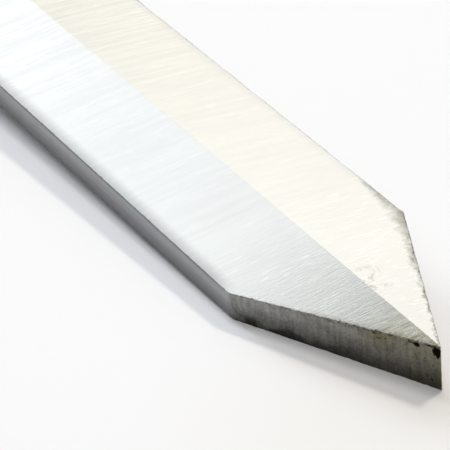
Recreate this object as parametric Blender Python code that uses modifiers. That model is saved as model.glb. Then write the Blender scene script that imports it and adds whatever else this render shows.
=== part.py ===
"""A woodturner's diamond parting tool, lying on a bench the way it comes to rest when it is put down.

The tool is a ground bar with a tang, bedded in a drilled and ferruled turned handle. It is modelled along
its own axis, with the ferrule's mouth at x = 0, the cutting edge at +X, the handle at -X and the ridge of the
blade at +Z. An empty then lays it down: the point, one corner of the blade and the belly of the handle touch
z = 0.
"""

import math

import bmesh
import bpy
from mathutils import Vector

MM = 0.001
FIT_GAP = 0.3 * MM  # stands for each glued, driven or pressed contact

# Blade: a flat bar that is thickest along its middle and ground to a point from both edges
BLADE_WIDTH = 19.0 * MM
RIDGE_THICKNESS = 4.9 * MM
EDGE_THICKNESS = 2.95 * MM
ARRIS_RADIUS = 0.25 * MM
POINT_LENGTH = 18.2 * MM
BLADE_REACH = 178.0 * MM  # ferrule mouth to cutting edge
SHOULDER_START = 17.0 * MM
SHOULDER_END = 3.0 * MM
GRINDING_MARGIN = 1.0 * MM  # the plan is wider than the bar, which then sets the width itself

# Tang: the same bar, narrowed in plan
TANG_WIDTH = 7.0 * MM
TANG_TAIL_WIDTH = 5.0 * MM
TANG_LENGTH = 74.0 * MM
TANG_POINT_LENGTH = 7.0 * MM
TANG_POINT_WIDTH = 2.6 * MM

# Ferrule: a drawn tube with its mouth rolled in and a crimp that locks it to the wood
FERRULE_LENGTH = 28.0 * MM
FERRULE_RADIUS = 10.0 * MM
FERRULE_WALL = 1.1 * MM
LIP_THICKNESS = 1.2 * MM
LIP_INNER_RADIUS = 7.6 * MM
LIP_ROLL_RADIUS = 1.0 * MM
CRIMP_CENTRE = 21.0 * MM
CRIMP_LENGTH = 3.2 * MM
CRIMP_DEPTH = 0.45 * MM

# Handle: one turning, given as distances behind the ferrule's mouth
HANDLE_LENGTH = 254.0 * MM
WOOD_FACE = LIP_THICKNESS + FIT_GAP
BEAD_LENGTH = 6.0 * MM
BEAD_RADIUS = 11.3 * MM
QUIRK_RADIUS = 10.2 * MM
NECK_PLACE, NECK_RADIUS = 44.0 * MM, 10.0 * MM
BELLY_PLACE, BELLY_RADIUS = 112.0 * MM, 14.8 * MM
WAIST_PLACE, WAIST_RADIUS = 188.0 * MM, 12.0 * MM
TAIL_PLACE, TAIL_RADIUS = 236.0 * MM, 15.2 * MM
BUTT_FLAT_RADIUS = 6.0 * MM
GROOVE_PLACES = (216.0 * MM, 220.0 * MM)
GROOVE_WIDTH = 1.4 * MM
GROOVE_DEPTH = 0.6 * MM
PROFILE_STEP = 4.0 * MM

# Socket: drilled for the tang, which is bedded in resin
SOCKET_RADIUS = 5.5 * MM
SOCKET_DEPTH = 78.0 * MM
DRILL_POINT_ANGLE = math.radians(118)

TURNED_SIDES = 40
ARC_STEPS = 4


def clear_scene():
    for obj in list(bpy.data.objects):
        bpy.data.objects.remove(obj)


def new_collection(name):
    collection = bpy.data.collections.new(name)
    bpy.context.scene.collection.children.link(collection)
    return collection


def finish(name, colour, roughness, metallic):
    """A Principled material of one colour."""
    material = bpy.data.materials.new(name)
    material.use_nodes = True
    shader = material.node_tree.nodes["Principled BSDF"]
    shader.inputs["Base Color"].default_value = (*colour, 1.0)
    shader.inputs["Roughness"].default_value = roughness
    shader.inputs["Metallic"].default_value = metallic
    return material


def rounded(corners, radii):
    """The outline with its corners turned into arcs. A corner whose radius is None stays sharp."""
    outline = []
    for index, (corner, arc_radius) in enumerate(zip(corners, radii)):
        point = Vector(corner)
        if arc_radius is None:
            outline.append(tuple(point))
            continue
        before = (Vector(corners[index - 1]) - point).normalized()
        after = (Vector(corners[(index + 1) % len(corners)]) - point).normalized()
        half_angle = before.angle(after) / 2
        centre = point + (before + after).normalized() * (arc_radius / math.sin(half_angle))
        start = point + before * (arc_radius / math.tan(half_angle)) - centre
        end = point + after * (arc_radius / math.tan(half_angle)) - centre
        for step in range(ARC_STEPS + 1):
            spoke = start.slerp(end, step / ARC_STEPS).normalized()
            outline.append(tuple(centre + spoke * arc_radius))
    return outline


def outline_solid(name, outline, half_depth, collection):
    """A flat outline, extruded both ways from its own XY plane, as a closed mesh."""
    curve = bpy.data.curves.new(name + "_outline", "CURVE")
    curve.dimensions = "2D"
    curve.fill_mode = "BOTH"
    curve.extrude = half_depth
    spline = curve.splines.new("POLY")
    spline.points.add(len(outline) - 1)
    for point, (x, y) in zip(spline.points, outline):
        point.co = (x, y, 0.0, 1.0)
    spline.use_cyclic_u = True
    drawn = bpy.data.objects.new(name + "_outline", curve)
    bpy.context.scene.collection.objects.link(drawn)
    bpy.context.view_layer.update()
    graph = bpy.context.evaluated_depsgraph_get()
    mesh = bpy.data.meshes.new_from_object(drawn.evaluated_get(graph))
    bpy.data.objects.remove(drawn)
    welded = bmesh.new()
    welded.from_mesh(mesh)
    bmesh.ops.remove_doubles(welded, verts=welded.verts, dist=1e-6)
    bmesh.ops.recalc_face_normals(welded, faces=welded.faces)
    welded.to_mesh(mesh)
    welded.free()
    mesh.name = name
    solid = bpy.data.objects.new(name, mesh)
    collection.objects.link(solid)
    return solid


def turned_solid(name, profile, closed, collection):
    """A profile of (radius, place along the axis), turned about the tool's axis."""
    mesh = bpy.data.meshes.new(name)
    points = [(radius, 0.0, place) for radius, place in profile]
    edges = [(i, i + 1) for i in range(len(points) - 1)]
    if closed:
        edges.append((len(points) - 1, 0))
    mesh.from_pydata(points, edges, [])
    turned = bpy.data.objects.new(name, mesh)
    turned.rotation_euler = (0.0, math.radians(90), 0.0)
    collection.objects.link(turned)
    screw = turned.modifiers.new("turn", "SCREW")
    screw.axis = "Z"
    screw.steps = TURNED_SIDES
    screw.render_steps = TURNED_SIDES
    screw.use_merge_vertices = True
    screw.merge_threshold = 1e-5
    screw.use_smooth_shade = True
    return turned


def combine(solid, other, operation):
    """Cuts or trims a solid by another one, which stays in the file as a helper."""
    modifier = solid.modifiers.new(operation.lower(), "BOOLEAN")
    modifier.operation = operation
    modifier.solver = "EXACT"
    modifier.object = other
    other.hide_render = True
    other.display_type = "WIRE"


def ease(low, high, share):
    """A smooth step from low to high, level at both ends."""
    return low + (high - low) * (1 - math.cos(math.pi * share)) / 2


def bar_section():
    """The bar's six-sided section, across the blade and through it, with its four outer arrises eased."""
    half_width, half_ridge, half_edge = BLADE_WIDTH / 2, RIDGE_THICKNESS / 2, EDGE_THICKNESS / 2
    corners = [
        (0.0, half_ridge),
        (-half_width, half_edge),
        (-half_width, -half_edge),
        (0.0, -half_ridge),
        (half_width, -half_edge),
        (half_width, half_edge),
    ]
    arris = ARRIS_RADIUS
    return rounded(corners, (None, arris, arris, None, arris, arris))


def blade_plan(margin=0.0):
    """The plan of the point, the shoulders and the tang, from the cutting edge round by the left side."""
    reach_past_bar = BLADE_WIDTH / 2 + GRINDING_MARGIN
    point_slope = POINT_LENGTH / (BLADE_WIDTH / 2)
    left = [(BLADE_REACH - point_slope * reach_past_bar, reach_past_bar)]
    shoulder_steps = 12
    for step in range(shoulder_steps + 1):
        share = step / shoulder_steps
        place = SHOULDER_START + (SHOULDER_END - SHOULDER_START) * share
        left.append((place, ease(reach_past_bar, TANG_WIDTH / 2, share) + margin))
    left.append((TANG_POINT_LENGTH - TANG_LENGTH, TANG_TAIL_WIDTH / 2 + margin))
    left.append((-TANG_LENGTH - margin, TANG_POINT_WIDTH / 2 + margin))
    right = [(place, -width) for place, width in reversed(left)]
    return [(BLADE_REACH, 0.0), *left, *right]


def make_blade(parts, cutters, steel):
    """The bar, trimmed to its plan. The section runs through to the end of the tang."""
    half_length = (BLADE_REACH + TANG_LENGTH) / 2 + GRINDING_MARGIN
    blade = outline_solid("blade", bar_section(), half_length, parts)
    blade.rotation_euler = (math.radians(90), 0.0, math.radians(90))
    blade.location.x = (BLADE_REACH - TANG_LENGTH) / 2
    plan = outline_solid("blade_plan", blade_plan(), RIDGE_THICKNESS, cutters)
    combine(blade, plan, "INTERSECT")
    blade.data.materials.append(steel)
    return blade, plan


def make_tang_bed(parts, cutters, resin):
    """The resin that fills the drilled socket around the tang."""
    front, back = -WOOD_FACE - FIT_GAP, FIT_GAP - SOCKET_DEPTH
    radius = SOCKET_RADIUS - FIT_GAP
    bed = turned_solid("tang_bed", [(0.0, front), (radius, front), (radius, back), (0.0, back)], False, parts)
    room = outline_solid("tang_room", blade_plan(FIT_GAP), RIDGE_THICKNESS / 2 + FIT_GAP, cutters)
    combine(bed, room, "DIFFERENCE")
    bed.data.materials.append(resin)
    return bed, room


def crimp_dip(place):
    """How far the crimp presses in, at a distance behind the mouth."""
    share = (place - CRIMP_CENTRE) / CRIMP_LENGTH
    return CRIMP_DEPTH * math.cos(math.pi * share) ** 2 if abs(share) < 0.5 else 0.0


def crimp_stations():
    steps = 6
    start = CRIMP_CENTRE - CRIMP_LENGTH / 2
    return [start + CRIMP_LENGTH * step / steps for step in range(steps + 1)]


def make_ferrule(parts, brass):
    outside = [(LIP_INNER_RADIUS, 0.0)]
    for step in range(ARC_STEPS + 1):
        turn = math.pi / 2 * step / ARC_STEPS
        radius = FERRULE_RADIUS - LIP_ROLL_RADIUS * (1 - math.sin(turn))
        outside.append((radius, -LIP_ROLL_RADIUS * (1 - math.cos(turn))))
    outside += [(FERRULE_RADIUS - crimp_dip(place), -place) for place in crimp_stations()]
    outside.append((FERRULE_RADIUS, -FERRULE_LENGTH))
    bore = FERRULE_RADIUS - FERRULE_WALL
    inside = [(bore, -FERRULE_LENGTH)]
    inside += [(bore - crimp_dip(place), -place) for place in reversed(crimp_stations())]
    inside += [(bore, -LIP_THICKNESS), (LIP_INNER_RADIUS, -LIP_THICKNESS)]
    ferrule = turned_solid("ferrule", outside + inside, True, parts)
    ferrule.data.materials.append(brass)
    return ferrule


def groove_profile(place, radius):
    """A small V turned into the wood."""
    half = GROOVE_WIDTH / 2
    return [(place - half, radius), (place, radius - GROOVE_DEPTH), (place + half, radius)]


def handle_swell():
    """(place, radius) along the grip: neck, belly, waist and tail, each level and joined by smooth steps."""
    stations = [
        (NECK_PLACE, NECK_RADIUS),
        (BELLY_PLACE, BELLY_RADIUS),
        (WAIST_PLACE, WAIST_RADIUS),
        (TAIL_PLACE, TAIL_RADIUS),
    ]
    swell = []
    for (start, low), (end, high) in zip(stations, stations[1:]):
        steps = round((end - start) / PROFILE_STEP)
        for step in range(steps):
            share = step / steps
            swell.append((start + (end - start) * share, ease(low, high, share)))
    swell.append(stations[-1])
    for groove in GROOVE_PLACES:
        share = (groove - WAIST_PLACE) / (TAIL_PLACE - WAIST_PLACE)
        cut = groove_profile(groove, ease(WAIST_RADIUS, TAIL_RADIUS, share))
        swell = [p for p in swell if not cut[0][0] <= p[0] <= cut[-1][0]] + cut
    return sorted(swell)


def handle_outside():
    """(place, radius) from the wood's front face to the flat of the butt."""
    spigot = FERRULE_RADIUS - FERRULE_WALL - FIT_GAP
    shoulder = FERRULE_LENGTH + FIT_GAP
    outside = [(WOOD_FACE, spigot)]
    outside += [(place, spigot - crimp_dip(place)) for place in crimp_stations()]
    outside.append((shoulder, spigot))
    bead_steps = 8
    for step in range(bead_steps + 1):
        share = step / bead_steps
        swell = (BEAD_RADIUS - QUIRK_RADIUS) * math.sin(math.pi * share)
        outside.append((shoulder + BEAD_LENGTH * share, QUIRK_RADIUS + swell))
    outside += handle_swell()
    dome_steps = 8
    dome_length = HANDLE_LENGTH - TAIL_PLACE
    for step in range(1, dome_steps + 1):
        turn = math.pi / 2 * step / dome_steps
        radius = BUTT_FLAT_RADIUS + (TAIL_RADIUS - BUTT_FLAT_RADIUS) * math.cos(turn)
        outside.append((TAIL_PLACE + dome_length * math.sin(turn), radius))
    return outside


def make_handle(parts, ash):
    drill_point = SOCKET_DEPTH + SOCKET_RADIUS / math.tan(DRILL_POINT_ANGLE / 2)
    socket = [(0.0, -drill_point), (SOCKET_RADIUS, -SOCKET_DEPTH), (SOCKET_RADIUS, -WOOD_FACE)]
    outside = [(radius, -place) for place, radius in handle_outside()]
    handle = turned_solid("handle", [*socket, *outside, (0.0, -HANDLE_LENGTH)], False, parts)
    handle.data.materials.append(ash)
    return handle


def resting_angles():
    """(roll, pitch) at which the point, the blade's near corner and the handle's belly lie in one plane."""
    half_width = BLADE_WIDTH / 2
    rise = (RIDGE_THICKNESS - EDGE_THICKNESS) / 2
    roll = 0.0
    for _ in range(20):
        point_drop = RIDGE_THICKNESS / 2 * math.cos(roll)
        slope = max((radius - point_drop) / (BLADE_REACH + place) for place, radius in handle_outside())
        roll = math.atan2(rise, half_width) + math.asin(POINT_LENGTH * slope / math.hypot(half_width, rise))
    return roll, math.atan(slope)


def lay_down(solids):
    """Parents the tool to an empty that lays it on z = 0, with the middle of its box over the origin."""
    rest = bpy.data.objects.new("rest_pose", None)
    bpy.context.scene.collection.objects.link(rest)
    roll, pitch = resting_angles()
    rest.rotation_euler = (roll, pitch, 0.0)
    for solid in solids:
        solid.parent = rest
    bpy.context.view_layer.update()
    graph = bpy.context.evaluated_depsgraph_get()
    corners = []
    for solid in solids:
        if not solid.hide_render:
            shown = solid.evaluated_get(graph)
            corners += [shown.matrix_world @ vertex.co for vertex in shown.data.vertices]
    low = Vector(min(corner[axis] for corner in corners) for axis in range(3))
    high = Vector(max(corner[axis] for corner in corners) for axis in range(3))
    rest.location = (-(low.x + high.x) / 2, -(low.y + high.y) / 2, -low.z)
    bpy.context.view_layer.update()
    print("roll %.2f and pitch %.2f degrees" % (math.degrees(roll), math.degrees(pitch)))
    print("box in mm:", [round(size / MM, 2) for size in high - low])


def main():
    clear_scene()
    parts = new_collection("parting_tool")
    cutters = new_collection("cutters")
    steel = finish("ground_steel", (0.56, 0.57, 0.58), 0.32, 1.0)
    brass = finish("brass", (0.80, 0.58, 0.28), 0.25, 1.0)
    ash = finish("lacquered_ash", (0.62, 0.42, 0.23), 0.35, 0.0)
    resin = finish("bedding_resin", (0.42, 0.33, 0.20), 0.45, 0.0)
    solids = [*make_blade(parts, cutters, steel), *make_tang_bed(parts, cutters, resin)]
    solids += [make_ferrule(parts, brass), make_handle(parts, ash)]
    lay_down(solids)


main()
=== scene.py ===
# %% [markdown]
# # A woodturner's parting tool, dressed for its picture
# A flat bar of steel, thickest along its middle, is ground to an upright cutting edge, and its tang is
# bedded in a turned handle. The packed solids are already the right size and in the right place. This
# lesson keeps that frame and puts a finer surface on every piece. Each step says what the real piece is,
# how it could be made, and why it is made so.

# %% Load the frame
import math
from types import SimpleNamespace

import bmesh
import bpy
import numpy as np
from mathutils import Matrix, Vector


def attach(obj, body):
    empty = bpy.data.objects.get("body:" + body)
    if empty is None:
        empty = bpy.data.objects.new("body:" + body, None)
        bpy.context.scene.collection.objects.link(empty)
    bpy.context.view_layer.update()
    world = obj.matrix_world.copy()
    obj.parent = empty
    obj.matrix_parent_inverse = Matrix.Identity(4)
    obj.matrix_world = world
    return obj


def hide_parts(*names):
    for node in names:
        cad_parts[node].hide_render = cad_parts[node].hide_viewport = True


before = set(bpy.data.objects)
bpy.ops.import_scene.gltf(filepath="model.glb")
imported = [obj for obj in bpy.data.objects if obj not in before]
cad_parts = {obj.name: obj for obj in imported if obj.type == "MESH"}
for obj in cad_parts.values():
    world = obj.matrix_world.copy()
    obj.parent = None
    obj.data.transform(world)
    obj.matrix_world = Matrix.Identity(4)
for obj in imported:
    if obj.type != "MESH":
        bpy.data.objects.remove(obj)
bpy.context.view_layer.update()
MM = 0.001
print("solids in the frame:", sorted(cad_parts))

# %% [markdown]
# ## The tool's own axes
# The tool lies on three points: the bottom of its cutting edge, one corner of the blade and the belly of
# the handle. So it is rolled and pitched a little. It is easier to think along the tool, with x = 0 at the
# ferrule's mouth, the cutting edge at +x and the ridge at +z. Turning whole objects afterwards would turn
# their patterns too, so points are worked out along the tool in millimetres and laid down before they go
# into a mesh.

# %% Lay points down on the bench
BLADE_REACH, RIDGE_THICKNESS = 178.0, 4.9
ROLL, PITCH = math.radians(10.6007), math.radians(2.48324)
MOUTH_PLACE = Vector((0.0380421, 0.0, 0.0101182))

laid = Matrix.LocRotScale(MOUTH_PLACE, Matrix.Rotation(PITCH, 3, "Y") @ Matrix.Rotation(ROLL, 3, "X"), None)
turn = np.array(laid.to_3x3())
shift = np.array(laid.translation)


def lay_down(points):
    """Points along the tool in millimetres become points on the bench in metres: turned, then shifted."""
    return points * MM @ turn.T + shift


tip = lay_down(np.array([[BLADE_REACH, 0.0, -RIDGE_THICKNESS / 2]]))[0]
print("foot of the cutting edge:", tip.round(5))

# %% [markdown]
# ## The camera
# The picture is taken from about 30 degrees above the bench with a long lens, which keeps the edges of the
# bar nearly parallel. The camera could be moved by hand until the picture looks right. Fitting the corners
# of the blade is more exact, and it gives the place, the aim and the tip as plain numbers.

# %% Place the camera
CAMERA_PLACE = Vector((0.349239, -0.117587, 0.117597))
CAMERA_AIM = Vector((0.183757, -0.000500, 0.000080))
CAMERA_TIP = math.radians(3.5145)
LENS_LENGTH, SENSOR_WIDTH, NEAREST_SEEN = 200.0, 36.0, 0.01

camera = bpy.data.objects.new("camera", bpy.data.cameras.new("camera"))
bpy.context.scene.collection.objects.link(camera)
camera.data.lens, camera.data.sensor_width = LENS_LENGTH, SENSOR_WIDTH
camera.data.clip_start = NEAREST_SEEN
look = (CAMERA_AIM - CAMERA_PLACE).to_track_quat("-Z", "Y").to_matrix() @ Matrix.Rotation(CAMERA_TIP, 3, "Z")
camera.matrix_world = Matrix.LocRotScale(CAMERA_PLACE, look, None)
bpy.context.scene.camera = camera
bpy.context.scene.view_settings.view_transform = "Standard"
print("camera is %.0f mm from what it looks at" % ((CAMERA_AIM - CAMERA_PLACE).length / MM))

# %% [markdown]
# ## Shader maths as Python
# A finish is a small tree of nodes. Drawn link by link, the tree hides what it computes, so one class wraps
# a socket and lets it be added and multiplied as a number. One method makes every other node. A Math node
# would turn a colour grey, so colours are mixed, or multiplied as vectors.

# %% A socket that can be used in an expression
ORIGIN = (0.0, 0.0, 0.0)


class Wire:
    """One output socket of a node tree. Arithmetic on it adds Math nodes to the same tree."""

    def __init__(self, tree, socket=None):
        self.tree, self.socket = tree, socket

    def node(self, kind, settings=None, sockets=None, out=0):
        """Adds a node: its settings first, then values or wires on its sockets. Returns one output."""
        made = self.tree.nodes.new(kind)
        for name, value in (settings or {}).items():
            if name == "stops":
                set_stops(made.color_ramp.elements, value)
            else:
                setattr(made, name, value)
        for name, value in (sockets or {}).items():
            set_socket(made.inputs[name], value)
        return Wire(self.tree, made.outputs[out])

    def maths(self, operation, *values):
        return self.node("ShaderNodeMath", {"operation": operation}, dict(enumerate(values)))

    def __add__(self, other):
        return self.maths("ADD", self, other)

    def __sub__(self, other):
        return self.maths("SUBTRACT", self, other)

    def __rsub__(self, other):
        return self.maths("SUBTRACT", other, self)

    def __mul__(self, other):
        return self.maths("MULTIPLY", self, other)

    def __truediv__(self, other):
        return self.maths("DIVIDE", self, other)

    __radd__, __rmul__ = __add__, __mul__

    def most(self, other):
        return self.maths("MAXIMUM", self, other)

    def least(self, other):
        return self.maths("MINIMUM", self, other)

    def step(self, low, high):
        """0 below low, 1 above high, smooth between. With low above high it falls instead."""
        if low > high:
            return 1.0 - self.step(high, low)
        ramp = {"interpolation_type": "SMOOTHSTEP"}
        return self.node("ShaderNodeMapRange", ramp, {"Value": self, "From Min": low, "From Max": high})

    def between(self, first, second):
        """The colour that is first where this value is 0 and second where it is 1."""
        sockets = {"Factor": self, 6: colour(first), 7: colour(second)}
        return self.node("ShaderNodeMix", {"data_type": "RGBA"}, sockets, 2)

    def times(self, share):
        """This colour or place, each channel multiplied by its own share."""
        return self.node("ShaderNodeVectorMath", {"operation": "MULTIPLY"}, {0: self, 1: share})

    def shaded(self, where, share):
        """This colour, multiplied by a share where a value is 1."""
        return self.under(where, self.times(share))

    def under(self, where, cover):
        """This colour, or the cover where a value is 1."""
        return where.between(self, cover)

    def away_from(self, point):
        """How far this place is from a point."""
        return self.node("ShaderNodeVectorMath", {"operation": "DISTANCE"}, {0: self, 1: point}, 1)

    def turned(self, angles, shift=ORIGIN):
        """This place turned about the axes, then shifted."""
        sockets = {"Vector": self, "Location": shift, "Rotation": angles}
        return self.node("ShaderNodeMapping", {"vector_type": "POINT"}, sockets)

    def noise(self, fineness, detail=2.0, roughness=0.5):
        """Noise that is as fine along each axis as the three numbers say."""
        sockets = {"Vector": self.times(fineness), "Scale": 1.0, "Detail": detail, "Roughness": roughness}
        return self.node("ShaderNodeTexNoise", sockets=sockets)


def set_socket(socket, value):
    """Links a wire to the socket, or writes a plain value on it."""
    if isinstance(value, Wire):
        value.tree.links.new(value.socket, socket)
    else:
        socket.default_value = value


def set_stops(ramp, stops):
    """Puts (place, colour) stops on a colour ramp, which starts with two."""
    while len(ramp) < len(stops):
        ramp.new(0.5)
    for stop, (place, tint) in zip(ramp, stops):
        stop.position, stop.color = place, colour(tint)


def colour(value):
    """A wire as it is, or (r, g, b) with its alpha."""
    return value if isinstance(value, Wire) else (*value, 1.0)


print("one class for sockets:", Wire.__doc__)


# %% Where a finish starts and ends
def new_finish(name):
    """A material, its Principled shader and the place in metres, from Object coordinates."""
    material = bpy.data.materials.new(name)
    material.use_nodes = True
    place = Wire(material.node_tree).node("ShaderNodeTexCoord", out=3)
    return material, material.node_tree.nodes["Principled BSDF"], place


def plug(shader, **values):
    """Sets a shader's sockets by name, with underscores for spaces."""
    for name, value in values.items():
        set_socket(shader.inputs[name.replace("_", " ")], value)


print("shader helpers are ready")

# %% [markdown]
# ## Lamps
# The main lamp is warm and stands behind the far edge: it throws the wide shadow towards the camera. Two
# nearly overhead make the inner, darker band, and a broad one in front softens both. A low cool one behind
# the handle turns the shade blue. It would glare along the steel, so mirrors don't see it. The facets
# mirror a warm and a cool panel. One big soft lamp would be simpler, but the shadow would lose its edge.

# %% Hang the lamps
LAMP_AIM = Vector((0.2, 0.0, 0.0))
LAMPS = [  # name, azimuth, elevation, distance, (width, height), level, tint, seen in mirrors
    ("main_lamp", 109.0, 61.9, 1.6, (0.24, 0.22), 0.231, (1.0, 0.935, 0.818), True),
    ("high_lamp", 187.0, 67.5, 1.6, (0.23, 0.23), 0.105, (0.98, 0.98, 1.0), True),
    ("overhead_lamp", 215.0, 78.7, 1.6, (0.30, 0.30), 0.117, (0.98, 0.98, 1.0), True),
    ("front_lamp", 324.5, 48.4, 1.7, (0.80, 0.90), 0.240, (0.985, 0.985, 1.0), True),
    ("side_panel", 186.0, 17.0, 1.8, (0.54, 0.50), 0.146, (0.712, 0.839, 1.0), False),
    ("warm_panel", 138.5, 31.5, 1.8, (1.02, 1.27), 0.071, (1.0, 0.965, 0.85), True),
    ("cool_panel", 180.0, 31.5, 1.8, (0.85, 1.38), 0.0785, (0.96, 0.99, 1.0), True),
]


def lamp(name, azimuth, elevation, distance, size, level, tint, in_mirrors):
    """A rectangular lamp aimed at the point. Level is the share of a white floor's brightness it gives."""
    made = bpy.data.objects.new(name, bpy.data.lights.new(name, "AREA"))
    bpy.context.scene.collection.objects.link(made)
    turn_by, rise = math.radians(azimuth), math.radians(elevation)
    flat = math.cos(rise)
    out = Vector((math.cos(turn_by) * flat, math.sin(turn_by) * flat, math.sin(rise)))
    made.location = LAMP_AIM + out * distance
    made.rotation_mode = "QUATERNION"
    made.rotation_quaternion = (-out).to_track_quat("-Z", "Y")
    made.data.shape = "RECTANGLE"
    made.data.size, made.data.size_y = size
    made.data.color = tint
    made.data.energy = level * math.pi**2 * distance**2 / math.sin(rise)
    made.visible_camera = False
    made.visible_glossy = in_mirrors
    print(name, "%.1f W" % made.data.energy)


for row in LAMPS:
    lamp(*row)

# %% [markdown]
# ## The room
# Steel shows what stands round it. In an even grey room the facets would look flat, so the walls are a ramp
# of greys by height, and a dark gap makes the near facet fall off towards the point. Only mirrors see the
# walls. The camera sees plain white, and everything else gets an even fill.

# %% Paint the walls
WHITE = (1.0, 1.0, 1.0)
FILL_LIGHT = (0.121, 0.118, 0.123)
WALL_STOPS = [  # sine of the height above the bench, colour of the wall there
    (0.30, (0.62, 0.60, 0.56)),
    (0.58, (0.62, 0.60, 0.55)),
    (0.640, (0.86, 0.86, 0.86)),
    (0.668, (0.90, 0.90, 0.92)),
    (0.695, (0.25, 0.26, 0.27)),
    (0.710, (0.25, 0.26, 0.27)),
    (0.748, (0.66, 0.67, 0.67)),
    (0.765, (0.61, 0.61, 0.59)),
    (0.80, (0.33, 0.325, 0.28)),
    (1.0, (0.34, 0.335, 0.305)),
]


def watched(start):
    """1 for a ray straight from the camera, and 1 for a ray by way of a mirror or glass."""
    rays = start.node("ShaderNodeLightPath").socket.node.outputs
    kinds = ("Is Camera Ray", "Is Glossy Ray", "Is Transmission Ray")
    seen, glossy, through = (Wire(start.tree, rays[kind]) for kind in kinds)
    return seen, glossy.most(through)


room = bpy.data.worlds.new("room")
bpy.context.scene.world = room
room.use_nodes = True
air = Wire(room.node_tree)
seen, mirrored = watched(air)
height = air.node("ShaderNodeSeparateXYZ", sockets={0: air.node("ShaderNodeTexCoord")}, out=2)
walls = air.node("ShaderNodeValToRGB", {"stops": WALL_STOPS}, {"Fac": height})
backdrop = seen.between(mirrored.between(FILL_LIGHT, walls), WHITE)
plug(room.node_tree.nodes["Background"], Color=backdrop, Strength=1.0)
print("walls have", len(WALL_STOPS), "greys")

# %% [markdown]
# ## The bench
# The tool lies on a white bench. The floor could be hidden and only its shadow kept, but the narrow edge
# and the bevel are mirrors that look down at it, and the tool's own shadow darkens their lower halves.
# In front of the tip the board's colour carries a little painted warm shade. Far from the tool the bench
# fades to plain white, so that no corner of it looks grey.

# %% Lay the bench
BENCH_HALF, BENCH_DROP = 3.0, 0.02 * MM
BOARD_TONES = ((0.93, 0.93, 0.93), (0.955, 0.952, 0.95))
# where and how far the board is painted a little darker and warmer in front of the tip: painted shade
WARM_SHADE_PLACE, WARM_SHADE, WARM_SHADE_REACH = (0.2205, -0.0085, 0.0), (0.966, 0.95, 0.918), (0.024, 0.004)
FADE_START, FADE_END = 0.27, 0.6


def white_board():
    """Pale matt board, faint mottle, painted warm shade before the tip, plain white light far from the tool.
    """
    material, shader, place = new_finish("white_board")
    board = place.noise((9.0, 9.0, 9.0)).between(*BOARD_TONES)
    # painted shade: the board darker and warmer in front of the tip
    board = board.shaded(place.away_from(WARM_SHADE_PLACE).step(*WARM_SHADE_REACH), WARM_SHADE)
    plug(shader, Base_Color=board, Roughness=0.85, Specular_IOR_Level=0.0)
    seen, mirrored = watched(place)
    fade = place.away_from(ORIGIN).step(FADE_START, FADE_END) * seen.most(mirrored)
    white = place.node("ShaderNodeEmission", sockets={"Color": colour(WHITE), "Strength": 1.0})
    lit = Wire(place.tree, shader.outputs[0])
    mixed = place.node("ShaderNodeMixShader", sockets={0: fade, 1: lit, 2: white})
    plug(material.node_tree.nodes["Material Output"], Surface=mixed)
    return material


signs = ((-1, -1), (1, -1), (1, 1), (-1, 1))
corners = [(across * BENCH_HALF, along * BENCH_HALF, -BENCH_DROP) for across, along in signs]
sheet = bpy.data.meshes.new("bench")
sheet.from_pydata(corners, [], [(0, 1, 2, 3)])
sheet.materials.append(white_board())
bench = bpy.data.objects.new("bench", sheet)
bpy.context.scene.collection.objects.link(bench)
print("bench is %.0f m wide" % (2 * BENCH_HALF))

# %% [markdown]
# ## Surfaces from grids
# Every new piece is a sheet of points in rows and columns that closes on itself round the tool. A row that
# shrinks to one point closes an end. Faces could be joined one by one in a loop, but index arithmetic on
# the whole grid is shorter. Points that fall together are then welded.

# %% Make a mesh from rows of points
SAME_PLACE, NO_LENGTH = 1e-7, 1e-8


def tube_piece(name, points, marks=None):
    """A closed piece from rows x columns of points, the columns joined in a ring. A face joins two points
    that are neighbours in a row to the two beside them in the next row. Marks are values per point."""
    rows, columns = points.shape[:2]
    index = np.arange(rows * columns).reshape(rows, columns)
    beside = np.roll(index, -1, axis=1)
    faces = np.stack([index[:-1], beside[:-1], beside[1:], index[1:]], axis=-1).reshape(-1, 4)
    flat = lay_down(points.reshape(-1, 3))
    mesh = bpy.data.meshes.new(name)
    mesh.from_pydata(flat.tolist(), [], faces.tolist())
    for mark, values in (marks or {}).items():
        layer = mesh.attributes.new(mark, "FLOAT", "POINT")
        layer.data.foreach_set("value", values.ravel().astype(np.float32))
    piece = bpy.data.objects.new(name, mesh)
    bpy.context.scene.collection.objects.link(piece)
    weld(mesh)
    mesh.shade_smooth()
    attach(piece, "root")
    print(name, "has", len(mesh.vertices), "points and", len(mesh.polygons), "faces")
    return piece


def weld(mesh):
    """Joins points that fall together, drops faces without area and turns the others outwards."""
    work = bmesh.new()
    work.from_mesh(mesh)
    bmesh.ops.remove_doubles(work, verts=work.verts, dist=SAME_PLACE)
    bmesh.ops.dissolve_degenerate(work, edges=work.edges, dist=NO_LENGTH)
    bmesh.ops.recalc_face_normals(work, faces=work.faces)
    work.to_mesh(mesh)
    work.free()


print("surface helpers are ready")
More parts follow.
